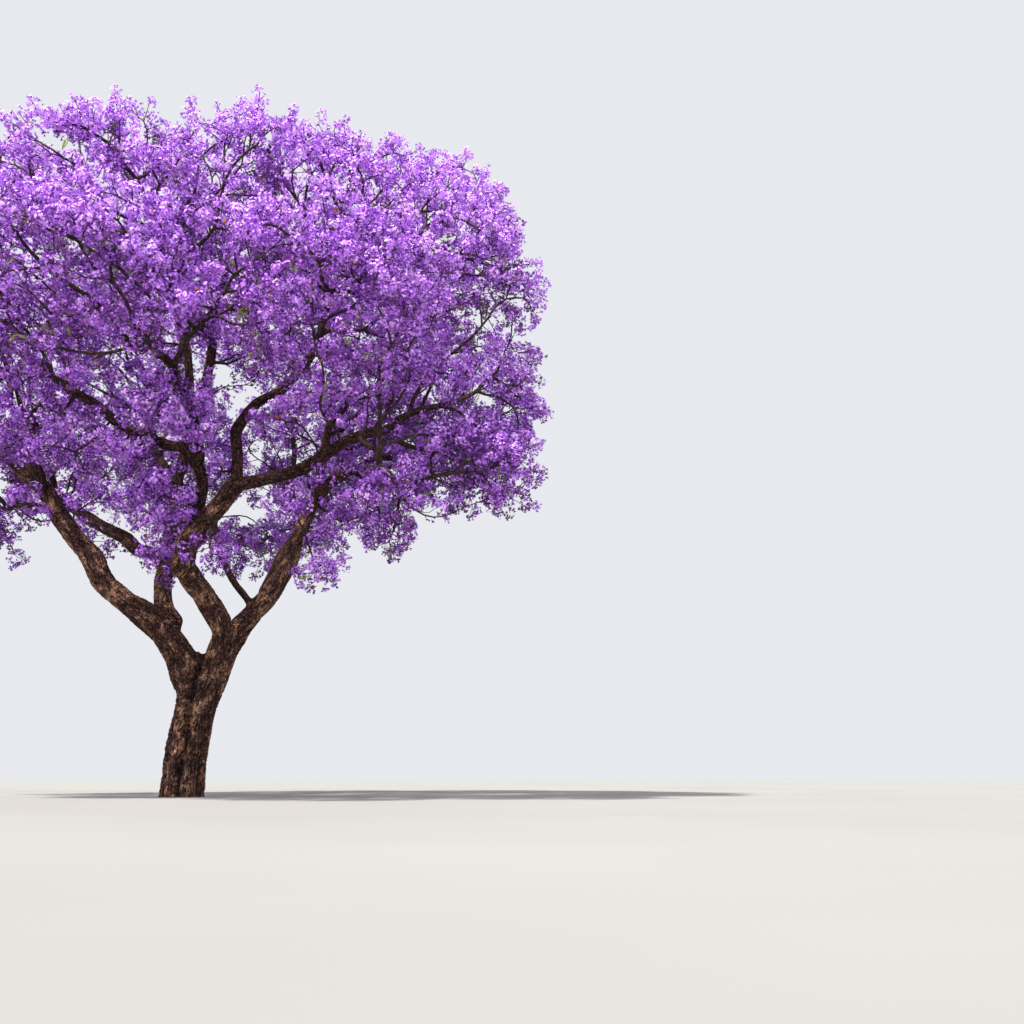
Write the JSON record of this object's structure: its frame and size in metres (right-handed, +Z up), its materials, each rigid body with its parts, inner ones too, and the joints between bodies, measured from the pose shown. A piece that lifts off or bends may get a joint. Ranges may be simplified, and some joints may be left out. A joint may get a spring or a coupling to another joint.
{
  "type": "jacaranda tree",
  "caption": "Broad jacaranda tree in full purple bloom: short leaning trunk, low fork, crooked spreading boughs and a domed crown.",
  "frame": {"origin": "middle of the flat cut under the trunk, at ground level", "axes": "+Z up; -Y towards the side the picture shows, +X to the right of that view"},
  "size_m": [12.3681, 12.4179, 11.6426],
  "materials": {
    "bark": "matte",
    "blossom": "matte",
    "leaf": "satin",
    "pod": "matte"
  },
  "bodies": {
    "root": {"bough_arching": "bark", "bough_arching_left": "bark", "bough_back_left": "bark", "bough_back_right": "bark", "bough_back_upper": "bark", "bough_front": "bark", "bough_front_upper": "bark", "bough_inner": "bark", "bough_inner_left": "bark", "bough_leader": "bark", "bough_leader_back": "bark", "bough_left": "bark", "bough_left_outer": "bark", "bough_left_upper": "bark", "bough_middle": "bark", "bough_middle_right": "bark", "bough_middle_top": "bark", "bough_middle_up": "bark", "bough_right": "bark", "bough_right_outer": "bark", "bough_right_stem": "bark", "bough_right_upper": "bark", "branch_low_front": "bark", "branch_low_left": "bark", "branch_low_right": "bark", "branch_right_spur": "bark", "mass_back": "blossom", "mass_back_left": "blossom", "mass_back_right": "blossom", "mass_between_boughs": "blossom", "mass_front": "blossom", "mass_front_left": "blossom", "mass_front_right": "blossom", "mass_left": "blossom", "mass_low_back": "blossom", "mass_low_front": "blossom", "mass_low_front_right": "blossom", "mass_low_left": "blossom", "mass_low_right": "blossom", "mass_right": "blossom", "mass_shoulder_right": "blossom", "mass_top": "blossom", "mass_under_front": "blossom", "mass_under_front_left": "blossom", "mass_under_front_right": "blossom", "mass_under_left": "blossom", "mass_upper_back": "blossom", "mass_upper_back_left": "blossom", "mass_upper_back_right": "blossom", "mass_upper_front": "blossom", "mass_upper_front_right": "blossom", "mass_upper_left": "blossom", "mass_upper_right": "blossom", "trunk": "bark"}
  },
  "joints": []
}
